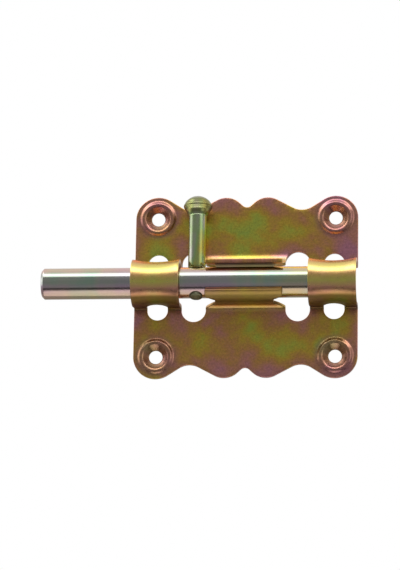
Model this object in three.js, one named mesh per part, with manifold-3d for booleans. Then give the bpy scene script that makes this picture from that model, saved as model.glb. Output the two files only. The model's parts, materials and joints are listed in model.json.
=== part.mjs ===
// Toggle bolt latch: a pressed steel backplate, a round rod that slides in the plate's two straps, and a turned
// knob riveted through the rod. All sizes are in millimetres.
//
// +X runs along the rod towards its short end, +Z up the door, and -Y away from the door. The origin is on the
// door's face, behind the rod's centre line and midway between the straps.

import * as THREE from 'three';
import { mergeVertices } from 'three/addons/utils/BufferGeometryUtils.js';
import Module from 'manifold-3d';

const wasm = await Module();
wasm.setup();

// Sheet metal
const sheet = 1.3;
const halfSheet = sheet / 2;

// Rod
const rodRadius = 5;
const rodDepth = 6.5; // from the door to the rod's centre line
const rodStart = -65.1;
const rodEnd = 35;
const rodChamfer = 0.8;
const rodSides = 48;

// Plate outline: corner lobes round the screws, with two humps and three valleys between them
const screwX = 28.7;
const screwZ = 22.9;
const plateHalfWidth = 35.9;
const lobe = { x: screwX, z: screwZ, radius: plateHalfWidth - screwX };
const outerValley = { x: 17.8, z: 31.6, radius: 6 };
const hump = { x: 6.75, z: 23.55, radius: 6.3 };
const middleValley = { x: 0, z: 28.5, radius: 1.9 };

// Straps over the rod. The arc over the rod is tightest in the middle of the strap and flares towards its sides.
const strapInner = 20.6;
const strapMiddle = (strapInner + plateHalfWidth) / 2;
const strapArc = 6.13;
const strapFlare = 0.9;
const strapFoot = 7.6; // height at which the strap meets the flat plate
const strapHalf = 17.3; // length of sheet from the crown of the strap to its foot
const strapFillet = 1.2;
const footHoleX = 28.35;
const footHoleRadius = 3.3;
const footHoleRise = 2.2; // straight part of the hole, up the leg of the strap

// Notches at the ends of the cut-out, which take the knob
const notchRadius = 3.9;
const notchX = strapInner - notchRadius;

// Flange above the rod and curled lip below it, each with two ears beside a narrower neck
const earEnd = 12.4;
const lipEarEnd = 12.35;
const neckX = 9.3;
const flangeWall = 6.05; // height of the middle of the flange's wall
const flangeBend = 5.15;
const flangeEdge = 11; // how far the flange's free edge stands from the door
const flangeEar = 1.8;
const flangeTail = 3.7;
const lipArc = 5.85;
const lipFoot = 8.5;
const lipFillet = 2.85;
const lipEdgeAngle = THREE.MathUtils.degToRad(35); // from straight out of the door
const lipEar = 2.6;
const lipTail = 4.2;
const neckLength = 14.1; // on the blank, where both necks start to widen
const shoulderLength = 16.1; // and where they reach their full width

// Screw bosses: a round pressed ring with a countersink inside it
const screwHole = 2.15;
const sinkRadius = 4.1;
const bossRadius = 6.1;
const bossHeight = 0.9;
const bossSides = 36;

// Knob
const knobX = -15.35;
const knobLean = THREE.MathUtils.degToRad(1);
const shankRadius = 2.85;
const coneStart = 22.2;
const headHeight = 25.4;
const headRadius = 4.65;
const knobTop = 28.9;
const tailRadius = 2.15;
const tailForward = THREE.MathUtils.degToRad(17); // how far the riveted end sits forward of straight opposite
const seatGap = 0.1; // between the rod and the pieces that sit on it
const knobSides = 40;

const steel = (name, color, roughness) => {
  const material = new THREE.MeshStandardMaterial({ color, roughness, metalness: 1 });
  material.name = name;
  return material;
};
const plateFinish = steel('plated_sheet', 0x84602f, 0.32);
const rodFinish = steel('plated_rod', 0x8a8a80, 0.28);
const knobFinish = steel('plated_knob', 0x7c8a50, 0.25);
const tailFinish = steel('plated_rivet', 0x55563f, 0.4);

// Points along an arc, ends included, with no step wider than the one given in degrees.
function arc(x, y, radius, from, to, stepDegrees = 13) {
  const steps = Math.ceil(Math.abs(to - from) / THREE.MathUtils.degToRad(stepDegrees) - 1e-6);
  const points = [];
  for (let i = 0; i <= steps; i += 1) {
    const angle = from + ((to - from) * i) / steps;
    points.push(new THREE.Vector2(x + radius * Math.cos(angle), y + radius * Math.sin(angle)));
  }
  return points;
}

function circle(x, y, radius, sides) {
  return arc(x, y, radius, 0, 2 * Math.PI, 360 / sides).slice(0, -1);
}

// The plate's upper edge from right to left: arcs that turn left round the lobes and humps and right round the
// valleys, joined by straight lines that touch both neighbours.
function upperEdge() {
  const mirrored = [hump, outerValley, lobe].map((c) => ({ ...c, x: -c.x }));
  const centres = [lobe, outerValley, hump, middleValley, ...mirrored];
  const points = [];
  let arrive = 0;
  centres.forEach((here, i) => {
    const turn = i % 2 === 0 ? 1 : -1;
    let leave = Math.PI;
    let next = 0;
    if (i < centres.length - 1) {
      const there = centres[i + 1];
      const reach = Math.hypot(there.x - here.x, there.z - here.z);
      const heading = Math.atan2(there.z - here.z, there.x - here.x);
      leave = heading - turn * Math.acos((here.radius + there.radius) / reach);
      next = leave + Math.PI;
    }
    while (turn * (leave - arrive) < 0) {
      leave += turn * 2 * Math.PI;
    }
    while (turn * (leave - arrive) > 2 * Math.PI) {
      leave -= turn * 2 * Math.PI;
    }
    points.push(...arc(here.x, here.z, here.radius, arrive, leave));
    arrive = next;
  });
  return points;
}

// Height on the formed plate to length along the flat blank, measured from the rod's centre line.
const blankLength = (height) => height - strapFoot + strapHalf;

// A strip bent over the rod: an arc round it, a straight leg towards the door, then a fillet out to the flat plate.
function bendOf(radius, foot, fillet) {
  const rise = rodDepth - halfSheet - fillet;
  const reach = Math.hypot(foot, rise);
  const turn = Math.PI / 2 + Math.atan2(rise, foot) - Math.acos((radius + fillet) / reach);
  const leg = Math.sqrt(reach ** 2 - (radius + fillet) ** 2);
  return { radius, foot, fillet, turn, leg, length: (radius + fillet) * turn + leg };
}

// Where a point of such a strip lies, by its distance along it from the crown: height, distance from the door,
// and how far the sheet's outward normal has tilted from straight out.
function alongBend({ radius, foot, fillet, turn, leg, length }, distance) {
  const onLeg = distance - radius * turn;
  if (onLeg <= 0) {
    const tilt = distance / radius;
    return { z: radius * Math.sin(tilt), out: rodDepth + radius * Math.cos(tilt), tilt };
  }
  if (onLeg <= leg) {
    const z = radius * Math.sin(turn) + onLeg * Math.cos(turn);
    return { z, out: rodDepth + radius * Math.cos(turn) - onLeg * Math.sin(turn), tilt: turn };
  }
  const tilt = (length - distance) / fillet;
  return { z: foot - fillet * Math.sin(tilt), out: halfSheet + fillet - fillet * Math.cos(tilt), tilt };
}

const lipFlat = blankLength(lipFoot);
const lipBend = bendOf(lipArc, lipFoot, lipFillet);
const lipEdge = lipFlat - lipBend.length + lipArc * lipEdgeAngle;
const flangeFlat = blankLength(flangeWall + flangeBend);
const flangeBendEnd = flangeFlat - (flangeBend * Math.PI) / 2;
const flangeFree = flangeBendEnd - (flangeEdge - flangeBend - halfSheet);

function strapShape(x, length) {
  const aside = (Math.abs(x) - strapMiddle) / (plateHalfWidth - strapMiddle);
  const bend = bendOf(strapArc + strapFlare * aside ** 2, strapFoot, strapFillet);
  return alongBend(bend, (length / strapHalf) * bend.length);
}

const lipShape = (length) => alongBend(lipBend, length - lipFlat + lipBend.length);

function flangeShape(length) {
  if (length < flangeBendEnd) {
    return { z: flangeWall, out: halfSheet + flangeBend + flangeBendEnd - length, tilt: Math.PI / 2 };
  }
  const tilt = (flangeFlat - length) / flangeBend;
  const z = flangeWall + flangeBend - flangeBend * Math.sin(tilt);
  return { z, out: halfSheet + flangeBend - flangeBend * Math.cos(tilt), tilt };
}

// A point of the flat blank, x across, along from the rod's centre line and offset from the middle of the sheet.
function form([x, along, offset]) {
  const length = Math.abs(along);
  const inStrap = Math.abs(x) >= notchX - 1e-6;
  const flat = inStrap ? strapHalf : along > 0 ? flangeFlat : lipFlat;
  let shape = { z: length - strapHalf + strapFoot, out: halfSheet, tilt: 0 };
  if (length < flat) {
    shape = inStrap ? strapShape(x, length) : along > 0 ? flangeShape(length) : lipShape(length);
  }
  const z = shape.z + offset * Math.sin(shape.tilt);
  const out = shape.out + offset * Math.cos(shape.tilt);
  return [x, -out, along < 0 ? -z : z];
}

// One flat half of the plate, from the bend lines of the straps outwards. Where the flange or the lip leaves it,
// the edge runs along that piece's own bend line at the given height.
function flatHalf(side, neckHeight) {
  const footArc = arc(footHoleX, strapFoot, footHoleRadius, Math.PI, 0);
  const notchEnd = Math.PI - Math.asin((neckHeight - strapFoot) / notchRadius);
  const notchArc = arc(notchX, strapFoot, notchRadius, notchEnd, 0);
  const right = [...notchArc, ...footArc, new THREE.Vector2(plateHalfWidth, strapFoot)];
  const left = right.map((p) => new THREE.Vector2(-p.x, p.y)).reverse();
  const outline = [...right, ...upperEdge(), ...left];
  const shape = new THREE.Shape(outline.map((p) => new THREE.Vector2(p.x, side * p.y)));
  for (const x of [-screwX, screwX]) {
    shape.holes.push(new THREE.Path(circle(x, side * screwZ, bossRadius, bossSides)));
  }
  return new THREE.ExtrudeGeometry(shape, { depth: sheet, bevelEnabled: false }).rotateX(Math.PI / 2);
}

const spread = (from, to, steps) => [...Array(steps + 1).keys()].map((i) => from + ((to - from) * i) / steps);
const rising = (values) => [...new Set(values)].sort((a, b) => a - b);

// A bent strip of the sheet: rows across it at the given lengths of the blank, each from its left to its right side.
function strip(lengths, left, right, columns) {
  const rows = lengths.length - 1;
  const geometry = new THREE.BoxGeometry(1, 1, sheet, columns, rows, 1);
  const { position } = geometry.attributes;
  for (let i = 0; i < position.count; i += 1) {
    const along = lengths[Math.round((position.getY(i) + 0.5) * rows)];
    const share = position.getX(i) + 0.5;
    const x = left(along) * (1 - share) + right(along) * share;
    position.setXYZ(i, ...form([x, along, position.getZ(i)]));
  }
  return geometry;
}

// The two strips of one strap, either side of its foot holes. They meet between the holes.
function strapStrips(side) {
  const bend = bendOf(strapArc, strapFoot, strapFillet);
  const scale = strapHalf / bend.length;
  const holeMiddle = strapHalf - footHoleRise;
  const arcRows = spread(0, bend.radius * bend.turn * scale, 8);
  const holeRows = spread(0, Math.PI / 2, 6).map((angle) => holeMiddle - footHoleRadius * Math.sin(angle));
  const filletRows = spread(strapHalf - bend.fillet * bend.turn * scale, strapHalf, 4);
  const half = [...arcRows, ...holeRows, ...filletRows];
  const lengths = rising([...half, ...half.map((length) => -length)]);
  const chord = (along) => {
    const beyond = Math.max(holeMiddle - Math.abs(along), 0);
    return Math.sqrt(Math.max(footHoleRadius ** 2 - beyond ** 2, 0));
  };
  const inner = () => side * strapInner;
  const outer = () => side * plateHalfWidth;
  const innerHole = (along) => side * (footHoleX - chord(along));
  const outerHole = (along) => side * (footHoleX + chord(along));
  if (side > 0) {
    return [strip(lengths, inner, innerHole, 3), strip(lengths, outerHole, outer, 3)];
  }
  return [strip(lengths, innerHole, inner, 3), strip(lengths, outer, outerHole, 3)];
}

// Half the width of the flange or the lip at a length of the blank: ears, the neck between them, and the notch.
function tabHalfWidth(length, free, ear, tail, end) {
  if (length >= strapHalf) {
    return notchX - Math.sqrt(notchRadius ** 2 - (length - strapHalf) ** 2);
  }
  if (length >= free + tail) {
    const share = THREE.MathUtils.clamp((length - neckLength) / (shoulderLength - neckLength), 0, 1);
    return neckX + (notchX - notchRadius - neckX) * share;
  }
  return length <= free + ear ? end : end + ((neckX - end) * (length - free - ear)) / (tail - ear);
}

function flangeStrip() {
  const tips = [flangeFree, flangeFree + flangeEar, flangeFree + flangeTail];
  const bendRows = [...spread(flangeBendEnd, strapHalf, 5), ...spread(strapHalf, flangeFlat, 5)];
  const lengths = rising([...tips, neckLength, shoulderLength, ...bendRows]);
  const half = (length) => tabHalfWidth(length, flangeFree, flangeEar, flangeTail, earEnd);
  return strip(lengths, (length) => -half(length), half, 1);
}

function lipStrip() {
  const filletStart = lipFlat - lipBend.fillet * lipBend.turn;
  const earRows = spread(lipEdge, lipEdge + lipEar, 4);
  const neckRows = spread(lipEdge + lipTail, filletStart, 4);
  const footRows = [...spread(filletStart, lipFlat, 7), neckLength, shoulderLength, strapHalf];
  const lengths = rising([...earRows, ...neckRows, ...footRows]);
  const half = (along) => tabHalfWidth(-along, lipEdge, lipEar, lipTail, lipEarEnd);
  return strip(rising(lengths.map((length) => -length)), (along) => -half(along), half, 1);
}

function toSolid(geometry) {
  const bare = geometry.clone();
  bare.deleteAttribute('normal');
  bare.deleteAttribute('uv');
  const merged = mergeVertices(bare);
  const triVerts = new Uint32Array(merged.index.array);
  const vertProperties = new Float32Array(merged.attributes.position.array);
  return new wasm.Manifold(new wasm.Mesh({ numProp: 3, vertProperties, triVerts }));
}

function toGeometry(solid) {
  const found = solid.getMesh();
  const geometry = new THREE.BufferGeometry();
  geometry.setAttribute('position', new THREE.Float32BufferAttribute(found.vertProperties, 3));
  geometry.setIndex(new THREE.Uint32BufferAttribute(found.triVerts, 1));
  geometry.computeVertexNormals();
  return geometry;
}

// A body turned from a closed outline of radius and height, standing along +Z.
function turned(outline, sides) {
  const points = outline.map(([radius, height]) => new THREE.Vector2(radius, height));
  return new THREE.LatheGeometry(points, sides).rotateX(Math.PI / 2);
}

// The pressed ring round a screw hole. Its back is hollow, as its front is raised.
function boss() {
  const sinkDepth = sinkRadius - screwHole;
  const top = sheet + bossHeight;
  const ring = [
    [screwHole, 0],
    [screwHole + 0.5, 0],
    [sinkRadius + 0.3, bossHeight - 0.1],
    [sinkRadius + 0.9, bossHeight - 0.1],
    [bossRadius, 0],
    [bossRadius + 0.3, 0],
    [bossRadius + 0.3, sheet],
    [bossRadius, sheet],
    [bossRadius - 0.7, top - 0.15],
    [bossRadius - 1.1, top],
    [sinkRadius + 0.3, top],
    [sinkRadius, top - 0.15],
    [screwHole, top - sinkDepth],
    [screwHole, 0],
  ];
  return turned(ring, bossSides).rotateX(Math.PI / 2);
}

function backplate() {
  const flats = [flatHalf(1, flangeWall + flangeBend), flatHalf(-1, lipFoot)];
  const bends = [...strapStrips(1), ...strapStrips(-1), flangeStrip(), lipStrip()];
  const bosses = [];
  for (const x of [-screwX, screwX]) {
    for (const z of [-screwZ, screwZ]) {
      bosses.push(boss().translate(x, 0, z));
    }
  }
  const solid = [...flats, ...bends, ...bosses].map(toSolid).reduce((all, piece) => all.add(piece));
  const mesh = new THREE.Mesh(toGeometry(solid), plateFinish);
  mesh.name = 'backplate';
  return mesh;
}

function boltRod() {
  const length = rodEnd - rodStart;
  const outline = [
    [0, 0],
    [rodRadius - rodChamfer, 0],
    [rodRadius, rodChamfer],
    [rodRadius, length - rodChamfer],
    [rodRadius - rodChamfer, length],
    [0, length],
  ];
  const mesh = new THREE.Mesh(turned(outline, rodSides), rodFinish);
  mesh.name = 'bolt_rod';
  mesh.rotation.y = Math.PI / 2;
  mesh.position.x = rodStart;
  return mesh;
}

// What is left of a turned body once the rod, with a little room round it, is taken away.
function seatedOnRod(geometry) {
  const outline = [[0, -9], [rodRadius + seatGap, -9], [rodRadius + seatGap, 9], [0, 9]];
  const room = turned(outline, rodSides).rotateY(Math.PI / 2);
  return toGeometry(toSolid(geometry).subtract(toSolid(room)));
}

function knob() {
  const domeBase = headHeight + 0.5;
  const rise = knobTop - domeBase;
  const domeRadius = ((headRadius - 0.1) ** 2 + rise ** 2) / (2 * rise);
  const rim = Math.asin((domeRadius - rise) / domeRadius);
  const dome = arc(0, knobTop - domeRadius, domeRadius, rim, Math.PI / 2, 9);
  const outline = [
    [0, 4],
    [shankRadius, 4],
    [shankRadius, coneStart],
    [shankRadius + 0.25, coneStart + 0.5],
    [headRadius - 0.25, headHeight - 0.4],
    [headRadius, headHeight],
    ...dome.slice(0, -1).map((p) => [p.x, p.y]),
    [0, knobTop],
  ];
  const mesh = new THREE.Mesh(seatedOnRod(turned(outline, knobSides)), knobFinish);
  mesh.name = 'knob';
  return mesh;
}

function pinTail() {
  const outline = [
    [0, -5.5],
    [tailRadius - 0.8, -5.45],
    [tailRadius, -5.2],
    [tailRadius, -4.2],
    [0, -4.2],
  ];
  const mesh = new THREE.Mesh(seatedOnRod(turned(outline, 24)), tailFinish);
  mesh.name = 'pin_tail';
  mesh.rotation.x = -tailForward;
  return mesh;
}

const knobGroup = new THREE.Group();
knobGroup.add(knob(), pinTail());
knobGroup.position.x = knobX;
knobGroup.rotation.x = -knobLean;

const onRodLine = new THREE.Group();
onRodLine.add(boltRod(), knobGroup);
onRodLine.position.y = -rodDepth;

const latch = new THREE.Group();
latch.add(backplate(), onRodLine);

export default latch;
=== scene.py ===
"""Toggle bolt latch: a yellow-plated pressed plate, a round bar held by its two straps, and a turned knob.

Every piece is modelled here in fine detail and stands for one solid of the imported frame. Sizes are in
millimetres until a mesh is made. In those working coordinates x runs along the bar, z up the door, and "out"
is the distance from the door's face.
"""

import json
import math

import bpy
import numpy as np
from mathutils import Matrix, Vector
from mathutils.geometry import delaunay_2d_cdt


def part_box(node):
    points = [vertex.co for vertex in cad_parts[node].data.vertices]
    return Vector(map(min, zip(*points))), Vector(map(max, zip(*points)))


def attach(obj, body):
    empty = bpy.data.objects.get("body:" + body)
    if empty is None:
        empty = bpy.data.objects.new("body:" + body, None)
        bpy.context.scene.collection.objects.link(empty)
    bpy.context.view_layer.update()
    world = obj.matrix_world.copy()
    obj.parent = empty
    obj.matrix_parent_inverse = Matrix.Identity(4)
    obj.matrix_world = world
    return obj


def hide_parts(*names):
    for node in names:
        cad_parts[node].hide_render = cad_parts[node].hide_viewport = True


MM = 0.001

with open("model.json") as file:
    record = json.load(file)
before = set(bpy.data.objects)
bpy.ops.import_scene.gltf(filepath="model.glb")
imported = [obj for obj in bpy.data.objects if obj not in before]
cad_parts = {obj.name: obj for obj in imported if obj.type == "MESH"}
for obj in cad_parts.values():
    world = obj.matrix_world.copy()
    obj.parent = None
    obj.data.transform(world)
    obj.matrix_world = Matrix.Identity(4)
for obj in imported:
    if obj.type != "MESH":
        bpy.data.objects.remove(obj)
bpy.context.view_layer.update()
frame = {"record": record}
record = frame["record"]
joints = {joint["name"]: joint for joint in record["behaviour"]["joints"]}


def box_mm(node):
    """The lowest and highest corner of a CAD node in millimetres."""
    low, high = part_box(node)
    return np.array(low) / MM, np.array(high) / MM


# ---------------------------------------------------------------- sizes

rod_low, rod_high = box_mm("bolt_rod")

SHEET = 1.3
HALF_SHEET = SHEET / 2
EDGE = 0.2  # rounding of the sheet's cut edges
HALF_WIDTH = box_mm("backplate")[1][0]

ROD_RADIUS = (rod_high[2] - rod_low[2]) / 2
ROD_DEPTH = -joints["knob_turn"]["pos_m"][1] / MM
ROD_CHAMFER = 0.8

# Outline of the plate: lobes round the screws, then valleys and humps, as centre x, centre z and radius
SCREW_X, SCREW_Z = 28.7, 22.9
LOBE = (SCREW_X, SCREW_Z, HALF_WIDTH - SCREW_X)
OUTER_VALLEY = (17.8, 31.6, 6.0)
HUMP = (6.75, 23.55, 6.3)
MIDDLE_VALLEY = (0.0, 28.5, 1.9)

# Straps, bent over the rod
STRAP_INNER = 20.6
STRAP_MIDDLE = (STRAP_INNER + HALF_WIDTH) / 2
STRAP_ARC = 6.13
STRAP_FLARE = 0.9
STRAP_FOOT = 7.6
STRAP_HALF = 17.3
STRAP_FILLET = 1.2
FOOT_HOLE_X, FOOT_HOLE_RADIUS, FOOT_HOLE_RISE = 28.35, 3.3, 2.2

# Notches, flange and lip
NOTCH_RADIUS = 3.9
NOTCH_X = STRAP_INNER - NOTCH_RADIUS
NECK_X = 9.3
NECK_LENGTH, SHOULDER = 14.1, 16.1  # lengths on the blank where the necks start and stop widening
FLANGE_END, FLANGE_EAR, FLANGE_TAIL = 12.4, 1.8, 3.7
FLANGE_WALL, FLANGE_BEND, FLANGE_EDGE = 6.05, 5.15, 11.0
LIP_END, LIP_EAR, LIP_TAIL = 12.35, 2.6, 4.2
LIP_ARC, LIP_FOOT, LIP_FILLET = 5.85, 8.5, 2.85
LIP_EDGE_ANGLE = math.radians(35)

# Screw bosses
SCREW_HOLE, SINK_RADIUS, BOSS_RADIUS, BOSS_HEIGHT = 2.15, 4.1, 6.1, 0.9
RIM_RADIUS = SINK_RADIUS + 0.15  # where the countersink meets the top of the boss
RIM_WEAR, RIM_WEAR_WIDTH = 0.12, 0.25

# Knob and the riveted end of its pin
KNOB_X = joints["knob_turn"]["pos_m"][0] / MM
KNOB_LEAN = math.radians(1)
SHANK_RADIUS, CONE_START, HEAD_HEIGHT, HEAD_RADIUS, KNOB_TOP = 2.85, 22.2, 25.4, 4.65, 28.9
TAIL_RADIUS, TAIL_FORWARD = 2.15, math.radians(17)
SEAT_GAP = 0.1
CORNER = 0.12


# ---------------------------------------------------------------- forming the sheet


def bend_of(radius, foot, fillet):
    """Turn, straight leg and whole length of a strip bent over the rod and out again to the flat plate."""
    rise = ROD_DEPTH - HALF_SHEET - fillet
    reach = np.hypot(foot, rise)
    turn = np.pi / 2 + np.arctan2(rise, foot) - np.arccos((radius + fillet) / reach)
    leg = np.sqrt(reach**2 - (radius + fillet) ** 2)
    return turn, leg, (radius + fillet) * turn + leg


def along_bend(distance, radius, foot, fillet):
    """Height, distance out and tilt of points of such a strip, by their distance from its crown."""
    turn, leg, length = bend_of(radius, foot, fillet)
    on_leg = distance - radius * turn
    past_arc = np.where(on_leg <= leg, turn, (length - distance) / fillet)
    tilt = np.where(on_leg <= 0, distance / radius, past_arc)
    straight = np.clip(on_leg, 0, leg)
    z = radius * np.sin(tilt) + straight * np.cos(turn)
    out = ROD_DEPTH + radius * np.cos(tilt) - straight * np.sin(turn)
    in_fillet = on_leg > leg
    z = np.where(in_fillet, foot - fillet * np.sin(tilt), z)
    out = np.where(in_fillet, HALF_SHEET + fillet * (1 - np.cos(tilt)), out)
    return z, out, tilt


def blank_length(height):
    """Length along the flat blank, from the rod's centre line, of a point at a height on the flat plate."""
    return height - STRAP_FOOT + STRAP_HALF


LIP_FLAT = blank_length(LIP_FOOT)
LIP_LENGTH = bend_of(LIP_ARC, LIP_FOOT, LIP_FILLET)[2]
LIP_FREE = LIP_FLAT - LIP_LENGTH + LIP_ARC * LIP_EDGE_ANGLE
FLANGE_FLAT = blank_length(FLANGE_WALL + FLANGE_BEND)
FLANGE_BEND_END = FLANGE_FLAT - FLANGE_BEND * math.pi / 2
FLANGE_FREE = FLANGE_BEND_END - (FLANGE_EDGE - FLANGE_BEND - HALF_SHEET)


def flange_shape(length):
    """Height, distance out and tilt along the flange, which bends forward into a short level wall."""
    tilt = np.clip((FLANGE_FLAT - length) / FLANGE_BEND, 0, np.pi / 2)
    z = FLANGE_WALL + FLANGE_BEND * (1 - np.sin(tilt))
    out = HALF_SHEET + FLANGE_BEND * (1 - np.cos(tilt)) + np.maximum(FLANGE_BEND_END - length, 0)
    return z, out, tilt


def form(x, along, offset):
    """Points of the flat blank carried to the pressed plate. offset is from the middle of the sheet."""
    length = np.abs(along)
    aside = np.clip((np.abs(x) - STRAP_MIDDLE) / (HALF_WIDTH - STRAP_MIDDLE), -1, 1)
    strap_arc = STRAP_ARC + STRAP_FLARE * aside**2
    in_strap = np.abs(x) >= NOTCH_X
    strap_length = bend_of(strap_arc, STRAP_FOOT, STRAP_FILLET)[2]
    strap_way = np.clip(length / STRAP_HALF, 0, 1) * strap_length
    strap = along_bend(strap_way, strap_arc, STRAP_FOOT, STRAP_FILLET)
    lip_way = np.clip(length - LIP_FLAT + LIP_LENGTH, 0, LIP_LENGTH)
    lip = along_bend(lip_way, LIP_ARC, LIP_FOOT, LIP_FILLET)
    tab = [np.where(along > 0, up, down) for up, down in zip(flange_shape(length), lip)]
    tab_flat = np.where(along > 0, FLANGE_FLAT, LIP_FLAT)
    bent = length < np.where(in_strap, STRAP_HALF, tab_flat)
    z, out, tilt = (np.where(in_strap, s, t) for s, t in zip(strap, tab))
    z = np.where(bent, z, length - STRAP_HALF + STRAP_FOOT)
    out = np.where(bent, out, HALF_SHEET)
    tilt = np.where(bent, tilt, 0)
    z = z + offset * np.sin(tilt)
    out = out + offset * np.cos(tilt)
    return np.stack([x, -out, np.where(along < 0, -z, z)], axis=-1)


# ---------------------------------------------------------------- outlines of the blank


def arc(x, y, radius, start, end, step=3.0):
    """Points along an arc, both ends included, at most step degrees apart."""
    count = max(2, math.ceil(abs(math.degrees(end - start)) / step) + 1)
    angle = np.linspace(start, end, count)
    return np.stack([x + radius * np.cos(angle), y + radius * np.sin(angle)], axis=1)


def upper_edge():
    """The plate's top edge from right to left: arcs joined by lines that touch both."""
    mirrored = [(-x, z, radius) for x, z, radius in (HUMP, OUTER_VALLEY, LOBE)]
    centres = [LOBE, OUTER_VALLEY, HUMP, MIDDLE_VALLEY] + mirrored
    runs, arrive = [], 0.0
    for index, (x, z, radius) in enumerate(centres):
        turn = 1 if index % 2 == 0 else -1
        leave, onward = math.pi, 0.0
        if index + 1 < len(centres):
            next_x, next_z, next_radius = centres[index + 1]
            reach = math.hypot(next_x - x, next_z - z)
            heading = math.atan2(next_z - z, next_x - x)
            leave = heading - turn * math.acos((radius + next_radius) / reach)
            onward = leave + math.pi
        sweep = (turn * (leave - arrive)) % (2 * math.pi)
        runs.append(arc(x, z, radius, arrive, arrive + turn * sweep))
        arrive = onward
    return np.concatenate(runs)


def rounded_corner(before, corner, after, radius):
    """Points that round one corner of an outline."""
    before, corner, after = (np.array(p, float) for p in (before, corner, after))
    to_before = (before - corner) / np.linalg.norm(before - corner)
    to_after = (after - corner) / np.linalg.norm(after - corner)
    half = math.acos(float(np.clip(to_before @ to_after, -1, 1))) / 2
    start = corner + to_before * radius / math.tan(half)
    middle = (to_before + to_after) / np.linalg.norm(to_before + to_after)
    centre = corner + middle * radius / math.sin(half)
    first = math.atan2(*(start - centre)[::-1])
    swing = math.pi - 2 * half
    turn = np.sign(np.cross(corner - before, after - corner))
    return arc(*centre, radius, first, first + turn * swing, step=12)


def cut_out_quarter(side, free, ear, tail, end):
    """The cut-out's edge from a strap round a notch and past a tab's ear to its free edge, for x above 0."""
    notch = arc(NOTCH_X, side * STRAP_HALF, NOTCH_RADIUS, 0, side * math.pi)
    lengths = (SHOULDER, NECK_LENGTH, free + tail, free + ear, free, free)
    widths = (NOTCH_X - NOTCH_RADIUS, NECK_X, NECK_X, end, end, 0)
    corners = [notch[-1]] + [(x, side * along) for x, along in zip(widths, lengths)]
    runs = [notch]
    for index, radius in enumerate((0.6, CORNER, CORNER, 0.35, 0.45), 1):
        runs.append(rounded_corner(*corners[index - 1 : index + 2], radius))
    return np.concatenate(runs)


def foot_hole(x, side):
    """The hole through a strap's foot: a half round on the flat plate and one up the leg, joined straight."""
    flat = arc(x, STRAP_HALF, FOOT_HOLE_RADIUS, 0, math.pi, 6)
    leg = arc(x, STRAP_HALF - FOOT_HOLE_RISE, FOOT_HOLE_RADIUS, math.pi, 2 * math.pi, 6)
    return np.concatenate([flat, leg]) * [1, side]


def spaced(loop, spacing):
    """A closed loop with extra points wherever two neighbours are too far apart, and none doubled."""
    points = []
    for here, there in zip(loop, np.roll(loop, -1, axis=0)):
        gap = np.linalg.norm(there - here)
        if gap < 1e-4:
            continue
        steps = max(1, math.ceil(gap / spacing))
        points.extend(here + (there - here) * k / steps for k in range(steps))
    return np.array(points)


def turning(loop):
    """Twice the area of a loop, above 0 if it runs anticlockwise."""
    return float(np.cross(loop, np.roll(loop, -1, axis=0)).sum())


def blank_loops():
    """The outline and the holes of the flat blank. The sheet lies on the left of each."""
    top = upper_edge()
    top[:, 1] = blank_length(top[:, 1])
    loops = [np.concatenate([top, (top * [1, -1])[::-1]])]
    above = cut_out_quarter(1, FLANGE_FREE, FLANGE_EAR, FLANGE_TAIL, FLANGE_END)
    below = cut_out_quarter(-1, LIP_FREE, LIP_EAR, LIP_TAIL, LIP_END)
    loops.append(np.concatenate([above, (above * [-1, 1])[::-1], below * [-1, 1], below[::-1]]))
    for x in (-1, 1):
        for z in (-1, 1):
            loops.append(foot_hole(x * FOOT_HOLE_X, z))
            loops.append(arc(x * SCREW_X, z * blank_length(SCREW_Z), SCREW_HOLE, 0, 2 * math.pi, 5)[:-1])
    result = []
    for index, loop in enumerate(loops):
        loop = spaced(loop, 0.4)
        anticlockwise = turning(loop) > 0
        result.append(loop if anticlockwise == (index == 0) else loop[::-1])
    return result


def outward(loop):
    """Unit normals of a loop, pointing off the sheet."""
    run = np.roll(loop, -1, axis=0) - np.roll(loop, 1, axis=0)
    normal = np.stack([run[:, 1], -run[:, 0]], axis=1)
    return normal / np.linalg.norm(normal, axis=1, keepdims=True)


def inside(points, loops):
    """Which points lie on the sheet, counting crossings of its outline and holes."""
    crossings = np.zeros(len(points), int)
    for loop in loops:
        for (x0, y0), (x1, y1) in zip(loop, np.roll(loop, -1, axis=0)):
            if y0 == y1:
                continue
            spans = (points[:, 1] >= min(y0, y1)) & (points[:, 1] < max(y0, y1))
            at = x0 + (points[:, 1] - y0) * (x1 - x0) / (y1 - y0)
            crossings += spans & (points[:, 0] < at)
    return crossings % 2 == 1


def clearance(points, loops):
    """Distance from each point to the nearest point of any loop."""
    best = np.full(len(points), np.inf)
    for loop in loops:
        for start in range(0, len(points), 4000):
            part = points[start : start + 4000]
            gap = np.linalg.norm(part[:, None] - loop[None], axis=2).min(axis=1)
            best[start : start + 4000] = np.minimum(best[start : start + 4000], gap)
    return best


# ---------------------------------------------------------------- the pressed sheet


def smooth(value, start, end):
    """0 before start, 1 after end and a smooth step between them."""
    share = np.clip((value - start) / (end - start), 0, 1)
    return share * share * (3 - 2 * share)


def screw_distance(x, along):
    """Distance across the blank to the nearest screw hole's centre."""
    return np.hypot(np.abs(x) - SCREW_X, np.abs(along) - blank_length(SCREW_Z))


def front_offset(x, along):
    """Front surface from the middle of the sheet: raised bosses with a countersink inside."""
    reach = screw_distance(x, along)
    raised = BOSS_HEIGHT * (1 - smooth(reach, RIM_RADIUS + 0.5, BOSS_RADIUS))
    sunk = np.clip(RIM_RADIUS - reach, 0, SINK_RADIUS - SCREW_HOLE)
    worn_rim = RIM_WEAR * np.exp(-(((reach - RIM_RADIUS) / RIM_WEAR_WIDTH) ** 2))
    return HALF_SHEET + raised - np.maximum(sunk, worn_rim)


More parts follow.
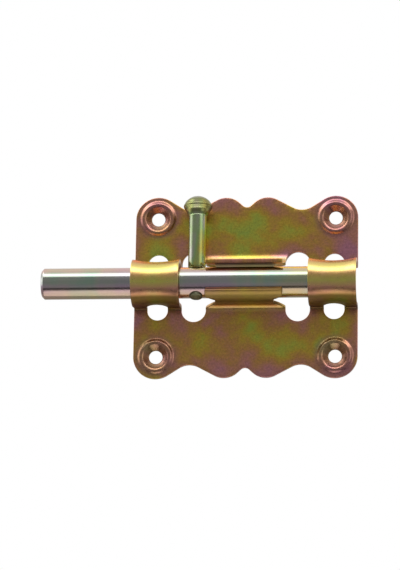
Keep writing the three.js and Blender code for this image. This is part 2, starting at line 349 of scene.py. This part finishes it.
def back_offset(x, along):
    """Back surface from the middle of the sheet: a ring-shaped hollow behind each boss."""
    reach = screw_distance(x, along)
    inner_side = smooth(reach, SCREW_HOLE + 0.4, SINK_RADIUS + 0.3)
    outer_side = 1 - smooth(reach, SINK_RADIUS + 0.9, BOSS_RADIUS)
    return -HALF_SHEET + (BOSS_HEIGHT - 0.1) * (inner_side * outer_side)


# Painted shade in the folds of the straps, on the lip and over the back: lengths along the blank between which
# each part fades in or out
TOP_FOLD, UNDER_STRAP, STRAP_SHADE_END = (10.5, 12.5), (5.0, 6.4), (17.0, 18.0)
LIP_FOLD, LIP_SHADE_END = (6.2, 7.2), (14.0, 15.4)
UNDER_STRAP_SHADE, LIP_SHADE, LIP_FOLD_SHADE, BACK_SHADE = 0.85, 0.35, 0.4, 0.3


def painted_shade_amount(x, along, offset):
    """How much painted shade darkens the plating: in the folds of the straps, on the lip, and evenly over the
    back.
    """
    length = np.abs(along)
    front = offset > -HALF_SHEET + 0.3
    under_strap = UNDER_STRAP_SHADE * smooth(-along, *UNDER_STRAP)
    strap = np.maximum(smooth(along, *TOP_FOLD), under_strap)
    strap = strap * (1 - smooth(length, *STRAP_SHADE_END)) * (np.abs(x) > NOTCH_X)
    lip = (LIP_SHADE + LIP_FOLD_SHADE * smooth(length, *LIP_FOLD)) * (1 - smooth(length, *LIP_SHADE_END))
    lip = lip * ((np.abs(x) < NOTCH_X) & (along < 0))
    return np.where(front, np.maximum(strap, lip), BACK_SHADE)


def grid(x_range, along_range, x_step, along_step):
    """A rectangular grid of blank points, each spacing rounded so that it fits the range."""
    across = np.linspace(*x_range, max(2, round((x_range[1] - x_range[0]) / x_step) + 1))
    along = np.linspace(*along_range, max(2, round((along_range[1] - along_range[0]) / along_step) + 1))
    return np.stack(np.meshgrid(across, along), axis=-1).reshape(-1, 2)


# Spacing of the mesh's points, across and along the bends and on the flat, and rings of them round each screw
BEND_SPACING, FLAT_SPACING = (0.85, 0.36), (1.5, 1.5)
PAST_BEND = 0.3
RING_RADII = (2.6, 3.0, 3.4, 3.8, 4.05, 4.25, 4.45, 4.7, 5.0, 5.3, 5.6, 5.9, 6.2, 6.7)


def sheet_points(loops):
    """Points inside the blank: close together where it bends, and in rings round the screw holes."""
    top = blank_length(30.3)  # a little past the plate's highest point
    strap_end = STRAP_HALF + 0.35
    zones = []
    for side in (-1, 1):
        edges = sorted((side * STRAP_INNER, side * HALF_WIDTH))
        zones.append(grid(edges, (-strap_end, strap_end), *BEND_SPACING))
        flat = grid((-HALF_WIDTH, HALF_WIDTH), sorted((side * strap_end, side * top)), *FLAT_SPACING)
        tab_end = (FLANGE_FLAT if side > 0 else LIP_FLAT) + PAST_BEND
        in_tab = (np.abs(flat[:, 0]) < NOTCH_X) & (np.abs(flat[:, 1]) < tab_end)
        zones.append(flat[~in_tab])
    zones.append(grid((-NOTCH_X, NOTCH_X), (FLANGE_FREE, FLANGE_FLAT + PAST_BEND), *BEND_SPACING))
    zones.append(grid((-NOTCH_X, NOTCH_X), (-LIP_FLAT - PAST_BEND, -LIP_FREE), *BEND_SPACING))
    points = np.concatenate(zones)
    points = points[screw_distance(*points.T) > BOSS_RADIUS + 0.8]
    rings = []
    for radius in RING_RADII:
        ring = arc(0, 0, radius, 0, 2 * math.pi, 5)[:-1]
        for x in (-SCREW_X, SCREW_X):
            for along in (-blank_length(SCREW_Z), blank_length(SCREW_Z)):
                rings.append(ring + [x, along])
    points = np.concatenate([points, *rings])
    points = points[inside(points, loops)]
    return points[clearance(points, loops) > EDGE + 0.16]


def pressed_sheet():
    """Vertices, faces and per-vertex facts of the whole stamping."""
    loops = blank_loops()
    normals = [outward(loop) for loop in loops]
    inset = [loop - EDGE * normal for loop, normal in zip(loops, normals)]
    points = np.concatenate([*inset, sheet_points(loops)])
    edges, start = [], 0
    for loop in inset:
        count = len(loop)
        edges += [(start + i, start + (i + 1) % count) for i in range(count)]
        start += count
    found = delaunay_2d_cdt([Vector(p) for p in points], edges, [], 0, 1e-5)
    flat, triangles, sources = found[0], found[2], found[3]
    flat = np.array([tuple(p) for p in flat])
    place = {}
    for index, origin in enumerate(sources):
        for source in origin:
            place[source] = index
    triangles = np.array([t for t in triangles if len(t) == 3])
    middles = flat[triangles].mean(axis=1)
    triangles = triangles[inside(middles, inset)]
    a, b, c = (flat[triangles[:, k]] for k in range(3))
    flipped = np.cross(b - a, c - a) < 0
    triangles[flipped] = triangles[flipped][:, ::-1]

    blanks = [flat, flat]
    offsets = [front_offset(*flat.T), back_offset(*flat.T)]
    faces = [tuple(t) for t in triangles] + [tuple(t[::-1] + len(flat)) for t in triangles]
    count = 2 * len(flat)
    corner = np.radians([30, 60, 90])
    start = 0
    for loop, normal in zip(loops, normals):
        rows = [[place[start + i] for i in range(len(loop))]]
        start += len(loop)
        back_row = [index + len(flat) for index in rows[0]]
        steps = [(angle, 1) for angle in corner] + [(angle, -1) for angle in corner[::-1]]
        for angle, side in steps:
            ring = loop - EDGE * (1 - math.sin(angle)) * normal
            front, back = front_offset(*ring.T), back_offset(*ring.T)
            depth = np.minimum(EDGE, 0.4 * (front - back)) * (1 - math.cos(angle))
            blanks.append(ring)
            offsets.append(front - depth if side > 0 else back + depth)
            rows.append(list(range(count, count + len(ring))))
            count += len(ring)
        rows.append(back_row)
        for upper, lower in zip(rows, rows[1:]):
            for i in range(len(loop)):
                j = (i + 1) % len(loop)
                faces.append((upper[j], upper[i], lower[i], lower[j]))
    blank = np.concatenate(blanks)
    offset = np.concatenate(offsets)
    facts = {
        # painted shade, stored at each vertex for the material
        "painted_shade": painted_shade_amount(blank[:, 0], blank[:, 1], offset),
        "edge_mm": np.minimum(clearance(blank, [loops[0], loops[1]]), 12),
        "blank_x": blank[:, 0],
        "blank_along": blank[:, 1],
        "screw_mm": screw_distance(*blank.T),
    }
    return form(blank[:, 0], blank[:, 1], offset), faces, facts


# ---------------------------------------------------------------- turned pieces


def turned(profile, sides, seat=None):
    """A closed body turned about +Z from (radius, height) rows that start and end on the axis.

    seat, if given, is a function that moves the finished vertices.
    """
    angle = np.linspace(0, 2 * np.pi, sides, endpoint=False)
    ring = np.stack([np.cos(angle), np.sin(angle)], axis=1)
    vertices = [np.array([[0, 0, profile[0][1]]])]
    for radius, height in profile[1:-1]:
        vertices.append(np.column_stack([ring * radius, np.full(sides, height)]))
    vertices.append(np.array([[0, 0, profile[-1][1]]]))
    vertices = np.concatenate(vertices)
    last = len(vertices) - 1
    faces = []
    rows = len(profile) - 2
    for i in range(sides):
        j = (i + 1) % sides
        faces.append((0, 1 + j, 1 + i))
        for row in range(rows - 1):
            low, high = 1 + row * sides, 1 + (row + 1) * sides
            faces.append((low + i, low + j, high + j, high + i))
        faces.append((last, 1 + (rows - 1) * sides + i, 1 + (rows - 1) * sides + j))
    if seat:
        vertices = seat(vertices)
    return vertices, faces


def rounded_profile(points, radii, steps=4):
    """A profile with chosen corners rounded. A radius of 0 leaves the corner sharp."""
    result = [points[0]]
    for before, here, after, radius in zip(points, points[1:], points[2:], radii):
        if radius:
            run = rounded_corner(before, here, after, radius)
            pick = np.linspace(0, len(run) - 1, steps + 1).round().astype(int)
            result.extend(tuple(run[i]) for i in pick)
        else:
            result.append(here)
    result.append(points[-1])
    return result


def rod_mesh():
    """A plain solid bar with chamfered ends, its corners a little rounded."""
    length = rod_high[0] - rod_low[0]
    inner = ROD_RADIUS - ROD_CHAMFER
    corners = [(0, 0), (inner, 0), (ROD_RADIUS, ROD_CHAMFER), (ROD_RADIUS, length - ROD_CHAMFER)]
    corners += [(inner, length), (0, length)]
    profile = rounded_profile(corners, [0.25, 0.35, 0.35, 0.25])
    face = [(inner * share, height) for share, height in ((0.35, 0), (0.7, 0))]
    profile[1:1] = face
    profile[-1:-1] = [(radius, length) for radius, _ in face[::-1]]
    middle = len(profile) // 2
    stretch = np.linspace(ROD_CHAMFER + 1, length - ROD_CHAMFER - 1, 24)
    profile[middle:middle] = [(ROD_RADIUS, height) for height in stretch]
    vertices, faces = turned(profile, 128)
    along, across, up = vertices[:, 2], vertices[:, 0], vertices[:, 1]
    placed = np.column_stack([rod_low[0] + along, across - ROD_DEPTH, up])
    return placed, faces


def on_rod(vertices, lean):
    """A piece standing on the rod at the knob's place, leaning back from upright by an angle."""
    x, y, z = vertices.T
    leaned_y = y * math.cos(lean) + z * math.sin(lean)
    leaned_z = z * math.cos(lean) - y * math.sin(lean)
    return np.column_stack([x + KNOB_X, leaned_y - ROD_DEPTH, leaned_z])


def seat_height(y):
    """Height at which a piece round the rod would touch it, a little room included."""
    return np.sqrt((ROD_RADIUS + SEAT_GAP) ** 2 - y**2)


def knob_mesh():
    """The knob: a shank that stands on the rod, a cone and a domed head."""
    dome_base = HEAD_HEIGHT + 0.5
    rise = KNOB_TOP - dome_base
    dome = ((HEAD_RADIUS - 0.12) ** 2 + rise**2) / (2 * rise)
    rim = math.asin((dome - rise) / dome)
    corners = [(SHANK_RADIUS * 0.5, 0), (SHANK_RADIUS, 0), (SHANK_RADIUS, CONE_START)]
    corners += [(HEAD_RADIUS - 0.2, HEAD_HEIGHT - 0.5), (HEAD_RADIUS, HEAD_HEIGHT)]
    corners += [(HEAD_RADIUS - 0.1, dome_base), (HEAD_RADIUS - 0.8, dome_base + 0.5)]
    profile = rounded_profile(corners, [0, 0.9, 0.25, 0.45, 0.5])[1:-1]
    crown = arc(0, KNOB_TOP - dome, dome, rim + 0.16, math.pi / 2, 5)[:-1]
    shank = [(SHANK_RADIUS * share, 0) for share in (0.3, 0.6, 0.85, 0.97)]
    climb = [(SHANK_RADIUS, height) for height in np.linspace(5.5, CONE_START - 1.2, 12)]
    rows = [(0, 0)] + shank + [profile[0]] + climb + profile[1:] + [tuple(p) for p in crown] + [(0, KNOB_TOP)]

    def seat(vertices):
        """Lets the foot of the shank down onto the rod."""
        foot = vertices[:, 2] < 1
        vertices[foot, 2] = seat_height(vertices[foot, 1])
        return vertices

    vertices, faces = turned(rows, 96, seat)
    return on_rod(vertices, KNOB_LEAN), faces


def tail_mesh():
    """The riveted end of the knob's pin: a low, slightly domed disc on the far side of the rod."""
    top = 5.5
    rows = [(0, 0), (TAIL_RADIUS * 0.5, 0), (TAIL_RADIUS, 0), (TAIL_RADIUS, 5.15)]
    rows += [(TAIL_RADIUS - 0.06, 5.24), (TAIL_RADIUS - 0.2, 5.32), (TAIL_RADIUS - 0.8, 5.44)]
    rows += [(0.6, top), (0, top)]

    def seat(vertices):
        """Hollows the underside to the rod's round."""
        foot = vertices[:, 2] < 1
        vertices[foot, 2] = seat_height(vertices[foot, 1]) - 0.02
        return vertices

    vertices, faces = turned(rows, 64, seat)
    vertices = vertices * [1, -1, -1]
    return on_rod(vertices, KNOB_LEAN + TAIL_FORWARD), faces


# ---------------------------------------------------------------- materials


class Nodes:
    """Short calls for building a material's node tree."""

    def __init__(self, name):
        self.material = bpy.data.materials.new(name)
        self.material.use_nodes = True
        self.tree = self.material.node_tree
        self.shader = self.tree.nodes["Principled BSDF"]

    @classmethod
    def on(cls, tree):
        """The same calls for a node tree that already exists."""
        nodes = cls.__new__(cls)
        nodes.tree = tree
        return nodes

    def add(self, kind, settings=None, **inputs):
        """A node of a kind, with settings by attribute and inputs by socket name or index."""
        node = self.tree.nodes.new(kind)
        for key, value in (settings or {}).items():
            setattr(node, key, value)
        for key, value in inputs.items():
            self.feed(node.inputs[key.replace("_", " ")], value)
        return node

    def feed(self, socket, value):
        if isinstance(value, bpy.types.NodeSocket):
            self.tree.links.new(value, socket)
        else:
            socket.default_value = value

    def math(self, operation, a, b=0.0, clamp=False):
        node = self.tree.nodes.new("ShaderNodeMath")
        node.operation = operation
        node.use_clamp = clamp
        self.feed(node.inputs[0], a)
        self.feed(node.inputs[1], b)
        return node.outputs[0]

    def span(self, value, start, end):
        """0 below start, 1 above end, and a smooth step between them."""
        node = self.add("ShaderNodeMapRange", {"interpolation_type": "SMOOTHSTEP"}, Value=value)
        node.inputs["From Min"].default_value = start
        node.inputs["From Max"].default_value = end
        return node.outputs[0]

    def fade(self, value, start, end):
        """1 below start, 0 above end, and a smooth step between them."""
        return self.math("SUBTRACT", 1.0, self.span(value, start, end))

    def product(self, value, *others):
        """The product of two or more values."""
        for other in others:
            value = self.math("MULTIPLY", value, other)
        return value

    def fact(self, name):
        """A value that the mesh stores at each vertex."""
        return self.add("ShaderNodeAttribute", {"attribute_name": name}).outputs["Fac"]

    def place(self):
        return self.add("ShaderNodeTexCoord").outputs["Object"]

    def noise(self, scale, detail=3.0, roughness=0.5, vector=None, stretch=None, shift=(0, 0, 0)):
        """Noise from 0 to 1. scale is in cells per metre, stretched along each axis if asked."""
        where = vector or self.place()
        mapping = self.add("ShaderNodeMapping", None, Vector=where)
        mapping.inputs["Scale"].default_value = stretch or (1, 1, 1)
        mapping.inputs["Location"].default_value = shift
        node = self.add("ShaderNodeTexNoise", None, Vector=mapping.outputs[0])
        node.inputs["Scale"].default_value = scale
        node.inputs["Detail"].default_value = detail
        node.inputs["Roughness"].default_value = roughness
        return node.outputs["Fac"]

    def ramp(self, value, stops):
        """A colour or grey ramp from (position, sRGB hex or grey) stops."""
        node = self.tree.nodes.new("ShaderNodeValToRGB")
        self.feed(node.inputs[0], value)
        elements = node.color_ramp.elements
        while len(elements) < len(stops):
            elements.new(1.0)
        for element, (position, color) in zip(elements, stops):
            element.position = position
            element.color = srgb(color) if isinstance(color, str) else (color, color, color, 1)
        return node.outputs[0]

    def mix(self, share, a, b, blend="MIX"):
        node = self.tree.nodes.new("ShaderNodeMix")
        node.data_type = "RGBA"
        node.blend_type = blend
        self.feed(node.inputs[0], share)
        self.feed(node.inputs[6], a)
        self.feed(node.inputs[7], b)
        return node.outputs[2]

    def bump(self, height, strength, distance_mm):
        node = self.add("ShaderNodeBump", None, Height=height)
        node.inputs["Strength"].default_value = strength
        node.inputs["Distance"].default_value = distance_mm * MM
        return node.outputs[0]

    def metal(self, color, rough, normal):
        """Joins up a metal surface and gives back its material."""
        self.feed(self.shader.inputs["Base Color"], color)
        self.feed(self.shader.inputs["Roughness"], rough)
        self.feed(self.shader.inputs["Normal"], normal)
        self.shader.inputs["Metallic"].default_value = 1.0
        return self.material


def srgb(code):
    """A linear colour from a hex code."""
    values = [int(code[i : i + 2], 16) / 255 for i in (1, 3, 5)]
    linear = [v / 12.92 if v <= 0.04045 else ((v + 0.055) / 1.055) ** 2.4 for v in values]
    return (*linear, 1.0)


# Colours of the yellow plating, from red to green
PLATING = [
    (0.08, "#eaa0b4"),
    (0.28, "#f0a792"),
    (0.44, "#efb36c"),
    (0.58, "#f2cd58"),
    (0.74, "#dfe262"),
    (0.92, "#b4e070"),
]
# Places on the blank with a redder or greener tone: x, along, inner and outer radius, change of tone
TONE_PATCHES = (
    (0, 29, 2, 11, 0.2),
    (30, 22, 2, 10, -0.28),
    (-28, -22, 3, 9, -0.12),
    (-4, -38, 2, 10, -0.1),
)
# Painted highlight, reflection and shade over the crown of a strap, from CROWN_SPAN / 2 below the rod's centre
# line to as far above it: brown shade underneath, a salmon reflection, and a pale yellow highlight towards the
# top
CROWN_SPAN = 12.0
STRAP_PAINTED_BANDS = [
    (0.0, "#c08a5c"),
    (0.22, "#f6b49a"),
    (0.4, "#ecec7c"),
    (0.58, "#e6b878"),
    (0.75, "#f6f090"),
    (1.0, "#dcb470"),
]
# Tints of the flange and of the lip: above or below the rod, where each fades in and out along the blank,
# colour and strength
TAB_TINTS = (
    (1.0, (8.5, 10.5), (18.0, 20.0), "#dcdc84", 0.55),
    (-1.0, (4.0, 6.0), (16.0, 19.0), "#d2b468", 0.6),
)
BOSS_PINKS = [(0.35, "#c98a9a"), (0.65, "#c89086")]
PAINTED_SHADE_COLOR = "#58521f"
# Colours of the pale bar: painted reflection bands by height, from its underside up, and its own tints in
# clouds along it
BAR_PAINTED_REFLECTIONS = [
    (0.02, "#e0b47a"),
    (0.17, "#d9a9a0"),
    (0.3, "#d2bccb"),
    (0.4, "#b9cdb9"),
    (0.7, "#b9c6b6"),
    (0.82, "#f0c3a4"),
]
BAR_CLOUDS = [(0.34, "#cfb8d2"), (0.46, "#cfcac0"), (0.56, "#a9d0ba"), (0.68, "#d6d49a")]
KNOB_CLOUDS = [(0.3, "#c6c3b8"), (0.44, "#a9c786"), (0.56, "#cdbb5c"), (0.7, "#93c070")]
# Painted shade over the knob's head, and a painted highlight on the crest of its dome
HEAD_PAINTED_SHADE, CREST_PAINTED_HIGHLIGHT = "#7a7444", "#c4beb6"
RIVET_SPOTS = [(0.3, "#6a6a52"), (0.7, "#8a8a70")]


def plating_tone(n, blank):
    """Where on the scale of PLATING each point lies: clouds, greener away from the cut edges, and patches."""
    clouds = n.noise(0.085, 2.5, 0.55, vector=blank, shift=(0.8, 0.35, 0))
    small = n.noise(0.32, 3, 0.6, vector=blank, shift=(3, 1, 0))
    edge = n.span(n.fact("edge_mm"), 0.0, 8.5)
    tone = n.math("ADD", n.product(clouds, 1.25), n.product(small, 0.28))
    tone = n.math("ADD", n.math("SUBTRACT", tone, 0.42), n.product(edge, 0.24))
    for x, along, inner, outer, change in TONE_PATCHES:
        gap = n.add("ShaderNodeVectorMath", {"operation": "DISTANCE"})
        n.feed(gap.inputs[0], blank)
        gap.inputs[1].default_value = (x, along, 0)
        near = n.fade(gap.outputs["Value"], inner, outer)
        tone = n.math("ADD", tone, n.product(near, change))
    return tone


def plate_material():
    """Yellow zinc plating: gold with green clouds, redder towards the cut edges and on the bosses, with painted
    highlight and shade over the straps' crowns and painted shade in the folds, on the lip and over the back.
    """
    n = Nodes("yellow_zinc_sheet")
    across, up = n.fact("blank_x"), n.fact("blank_along")
    blank = n.add("ShaderNodeCombineXYZ", None, X=across, Y=up).outputs[0]
    color = n.ramp(plating_tone(n, blank), PLATING)
    pink = n.ramp(n.noise(0.3, 2, 0.5, vector=blank, shift=(7, 2, 0)), BOSS_PINKS)
    color = n.mix(n.product(n.fade(n.fact("screw_mm"), 5.2, 8.0), 0.65), color, pink)
    grain = n.ramp(n.noise(1.5, 2, 0.7, vector=blank), [(0.3, 0.66), (0.7, 0.93)])
    color = n.mix(1.0, color, grain, "MULTIPLY")

    # Painted highlight, reflection and shade: colour bands by height over each strap's crown
    crown = n.math("ADD", n.math("DIVIDE", up, CROWN_SPAN), 0.5)
    on_strap = n.span(n.math("ABSOLUTE", across), STRAP_INNER - 1.5, STRAP_INNER - 0.5)
    on_crown = n.product(on_strap, n.fade(n.math("ABSOLUTE", up), CROWN_SPAN / 2, 9.0))
    color = n.mix(n.product(on_crown, 0.75), color, n.ramp(crown, STRAP_PAINTED_BANDS))
    off_strap = n.math("SUBTRACT", 1.0, on_strap)
    for side, fade_in, fade_out, tint, strength in TAB_TINTS:
        length = n.product(up, side)
        on_tab = n.product(n.span(length, *fade_in), n.fade(length, *fade_out), off_strap)
        color = n.mix(n.product(on_tab, strength), color, srgb(tint))
    # Painted shade: the folds of the straps, the lip and the back are mixed towards a dark olive colour and
    # made rougher
    painted_shade = n.fact("painted_shade")
    color = n.mix(n.product(painted_shade, 0.85), color, srgb(PAINTED_SHADE_COLOR))

    rough = n.math("ADD", n.product(n.noise(0.9, 4, 0.6, vector=blank), 0.2), 0.2)
    rough = n.math("ADD", rough, n.product(painted_shade, 0.25))
    waves = n.product(n.noise(0.12, 1, vector=blank), 4.0)
    height = n.math("ADD", n.noise(1.1, 3, 0.65, vector=blank), waves)
    return n.metal(color, rough, n.bump(height, 0.5, 0.03))


def rod_material():
    """Pale plated bar with drawing lines along it, painted reflection bands by height round it, and faint tints
    that change along it.
    """
    n = Nodes("pale_zinc_bar")
    parts = n.add("ShaderNodeSeparateXYZ", None, Vector=n.place()).outputs
    up_bar = n.math("ADD", n.product(parts["Z"], 100.0), 0.5)
    clouds = n.noise(75, 2.5, 0.5, stretch=(1, 0.6, 0.6), shift=(0.4, 0, 0))
    # Painted reflections: the bar's colour changes in bands by height, mixed with clouds of its own tints
    color = n.mix(0.45, n.ramp(up_bar, BAR_PAINTED_REFLECTIONS), n.ramp(clouds, BAR_CLOUDS))
    lines = n.noise(900, 3, 0.6, stretch=(0.03, 1, 1))
    color = n.mix(1.0, color, n.ramp(lines, [(0.25, 0.82), (0.75, 1.0)]), "MULTIPLY")
    rough = n.math("ADD", n.product(n.noise(500, 3, 0.6, stretch=(0.2, 1, 1)), 0.12), 0.12)
    return n.metal(color, rough, n.bump(lines, 0.25, 0.012))


def knob_material():
    """Greenish yellow plating over fine turning marks, with painted shade on the head and a painted highlight
    on the crest.
    """
    n = Nodes("yellow_zinc_turned")
    clouds = n.noise(170, 2.5, 0.5, stretch=(1, 1, 0.45), shift=(0.2, 0.6, 0))
    height = n.add("ShaderNodeSeparateXYZ", None, Vector=n.place()).outputs["Z"]
    on_head = n.span(height, CONE_START * MM, (CONE_START + 1.2) * MM)
    crest = n.span(height, (HEAD_HEIGHT + 1.6) * MM, (KNOB_TOP - 0.2) * MM)
    # Painted shade over the head from where the cone starts upward, and a painted highlight on the dome's crest
    color = n.mix(n.product(on_head, 0.75), n.ramp(clouds, KNOB_CLOUDS), srgb(HEAD_PAINTED_SHADE))
    color = n.mix(n.product(crest, 0.8), color, srgb(CREST_PAINTED_HIGHLIGHT))
    marks = n.noise(500, 2, 0.5, stretch=(0.05, 0.05, 6))
    rough = n.math("ADD", n.product(clouds, 0.12), 0.2)
    return n.metal(color, rough, n.bump(marks, 0.2, 0.01))


def tail_material():
    """The hammered end of the pin, duller and darker."""
    n = Nodes("rivet_end")
    spots = n.noise(700, 3, 0.6)
    return n.metal(n.ramp(spots, RIVET_SPOTS), 0.42, n.bump(spots, 0.5, 0.06))


# ---------------------------------------------------------------- pieces


def make_piece(name, built, material, node, body):
    """A smooth mesh that stands for a CAD node and rides on its body."""
    vertices, faces = built[0], built[1]
    vertices = np.clip(vertices, *box_mm(node))
    mesh = bpy.data.meshes.new(name)
    mesh.from_pydata((vertices * MM).tolist(), [], [tuple(int(i) for i in face) for face in faces])
    mesh.validate()
    for key, values in (built[2] if len(built) > 2 else {}).items():
        layer = mesh.attributes.new(key, "FLOAT", "POINT")
        layer.data.foreach_set("value", np.ascontiguousarray(values, np.float32))
    mesh.polygons.foreach_set("use_smooth", [True] * len(mesh.polygons))
    mesh.materials.append(material)
    piece = bpy.data.objects.new(name, mesh)
    bpy.context.scene.collection.objects.link(piece)
    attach(piece, body)
    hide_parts(node)
    return piece


make_piece("pressed_plate", pressed_sheet(), plate_material(), "backplate", "plate")
make_piece("round_bar", rod_mesh(), rod_material(), "bolt_rod", "rod")
make_piece("turned_knob", knob_mesh(), knob_material(), "knob", "handle")
make_piece("rivet_end", tail_mesh(), tail_material(), "pin_tail", "handle")


# ---------------------------------------------------------------- studio

FLOOR_DROP = 0.45
FLOOR_RADIUS = 0.24
FLOOR_SIDES = 96

# Brightness of the room by elevation in degrees, for the front and for what lies behind the latch
TOP_LEVEL = 2.8
ROOM_FRONT = (
    (-90, 0.3),
    (-60, 0.34),
    (-56, 0.03),
    (-46, 0.03),
    (-41, 0.25),
    (0, 0.22),
    (38, 0.26),
    (47, 2.8),
    (60, 2.8),
    (68, 0.95),
    (90, 0.8),
)
ROOM_BEHIND = ((-90, 0.35), (-15, 0.3), (12, 0.75), (90, 0.85))
# Soft round lights: azimuth to the right of straight in front, elevation, inner and outer radius, brightness
SIDE_LIGHTS = (
    (-88, 14, 12, 24, 0.75),
    (-88, 48, 10, 24, 1.7),
    (54, 12, 10, 24, 0.7),
)

CAMERA_AZIMUTH = 5.98
CAMERA_ELEVATION = -15.05
CAMERA_ROLL = -1.04
CAMERA_DISTANCE = 1.0
CAMERA_LENS = 197.9
CAMERA_TARGET = (-14.185, -7.09, -0.882)


def studio_floor():
    """A round pale floor well below the latch."""
    mesh = bpy.data.meshes.new("studio_floor")
    angles = np.linspace(0, 2 * math.pi, FLOOR_SIDES + 1)[:-1]
    ring = [(FLOOR_RADIUS * math.cos(angle), FLOOR_RADIUS * math.sin(angle), 0) for angle in angles]
    mesh.from_pydata(ring, [], [tuple(range(len(ring)))])
    floor = bpy.data.objects.new("studio_floor", mesh)
    floor.location = (0, 0, -FLOOR_DROP)
    bpy.context.scene.collection.objects.link(floor)
    n = Nodes("studio_floor")
    n.shader.inputs["Base Color"].default_value = (0.8, 0.79, 0.77, 1)
    n.shader.inputs["Roughness"].default_value = 0.8
    mesh.materials.append(n.material)


def studio_world():
    """Plain white to look at. Reflections see a room that changes with height, and soft lights to the sides."""
    world = bpy.data.worlds.new("studio")
    bpy.context.scene.world = world
    world.use_nodes = True
    world.node_tree.nodes.clear()
    n = Nodes.on(world.node_tree)
    way = n.add("ShaderNodeTexCoord").outputs["Generated"]
    parts = n.add("ShaderNodeSeparateXYZ", None, Vector=way).outputs
    height = n.math("MULTIPLY", n.math("ADD", parts["Z"], 1.0), 0.5)
    rooms = []
    for heights in (ROOM_FRONT, ROOM_BEHIND):
        stops = [((math.sin(math.radians(angle)) + 1) / 2, level / TOP_LEVEL) for angle, level in heights]
        rooms.append(n.ramp(height, stops))
    room = n.mix(n.span(parts["Y"], -0.1, 0.1), *rooms)
    light = n.math("MULTIPLY", room, TOP_LEVEL)
    for azimuth, elevation, inner, outer, level in SIDE_LIGHTS:
        flat = math.cos(math.radians(elevation))
        aim = (math.sin(math.radians(azimuth)) * flat, -math.cos(math.radians(azimuth)) * flat)
        aim = (*aim, math.sin(math.radians(elevation)))
        dot = n.add("ShaderNodeVectorMath", {"operation": "DOT_PRODUCT"})
        n.feed(dot.inputs[0], way)
        dot.inputs[1].default_value = aim
        glow = n.span(dot.outputs["Value"], math.cos(math.radians(outer)), math.cos(math.radians(inner)))
        light = n.math("ADD", light, n.math("MULTIPLY", glow, level))
    seen = n.add("ShaderNodeBackground")
    seen.inputs["Color"].default_value = (1, 1, 1, 1)
    lit = n.add("ShaderNodeBackground", None, Strength=light)
    lit.inputs["Color"].default_value = (1, 1, 1, 1)
    choose = n.add("ShaderNodeMixShader")
    n.feed(choose.inputs[0], n.add("ShaderNodeLightPath").outputs["Is Camera Ray"])
    n.feed(choose.inputs[1], lit.outputs[0])
    n.feed(choose.inputs[2], seen.outputs[0])
    n.add("ShaderNodeOutputWorld", None, Surface=choose.outputs[0])


def studio_camera():
    """Looks up at the latch from a little below and to its right, turned a touch on its own axis."""
    azimuth, elevation = math.radians(CAMERA_AZIMUTH), math.radians(CAMERA_ELEVATION)
    flat = math.cos(elevation)
    back = Vector((math.sin(azimuth) * flat, -math.cos(azimuth) * flat, math.sin(elevation)))
    right = Vector((math.cos(azimuth), math.sin(azimuth), 0))
    turn = Matrix.Rotation(math.radians(CAMERA_ROLL), 3, -back)
    right, up = turn @ right, turn @ back.cross(right)
    data = bpy.data.cameras.new("camera")
    data.lens = CAMERA_LENS
    data.sensor_width = 36
    camera = bpy.data.objects.new("camera", data)
    bpy.context.scene.collection.objects.link(camera)
    camera.matrix_world = Matrix((right, up, back)).transposed().to_4x4()
    camera.location = Vector(CAMERA_TARGET) * MM + back * CAMERA_DISTANCE
    bpy.context.scene.camera = camera


studio_floor()
studio_world()
studio_camera()
bpy.context.scene.view_settings.view_transform = "Standard"
